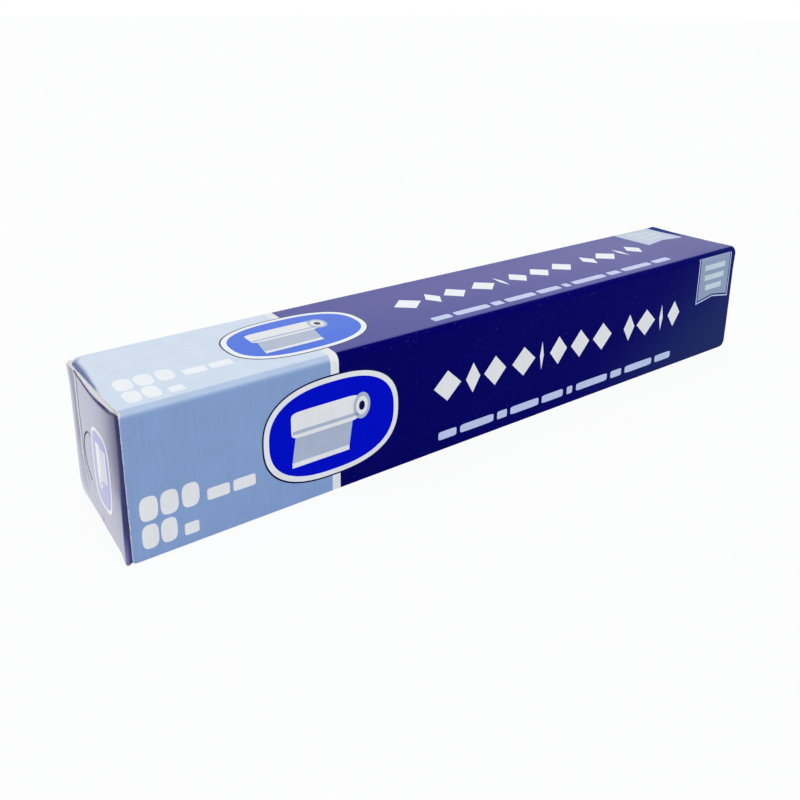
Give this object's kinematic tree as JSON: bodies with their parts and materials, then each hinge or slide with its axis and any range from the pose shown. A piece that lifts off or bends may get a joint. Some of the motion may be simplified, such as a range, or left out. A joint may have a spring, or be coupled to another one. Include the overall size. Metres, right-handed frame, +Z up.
{
  "type": "boxed aluminium foil roll",
  "caption": "Long closed carton of kitchen foil: folded board tray, wrap-over lid glued down at the front, and overlapping end flaps with round press-in tabs.",
  "frame": {"origin": "centre of the carton's bottom face, on the surface that it stands on", "axes": "+X along the carton to the right as seen from its front, +Y to the back where the lid is hinged, +Z up"},
  "size_m": [0.3172, 0.0534, 0.0544],
  "materials": {
    "printed_board": "gloss varnish over print"
  },
  "bodies": {
    "root": {"foil_carton": "printed_board"}
  },
  "joints": []
}
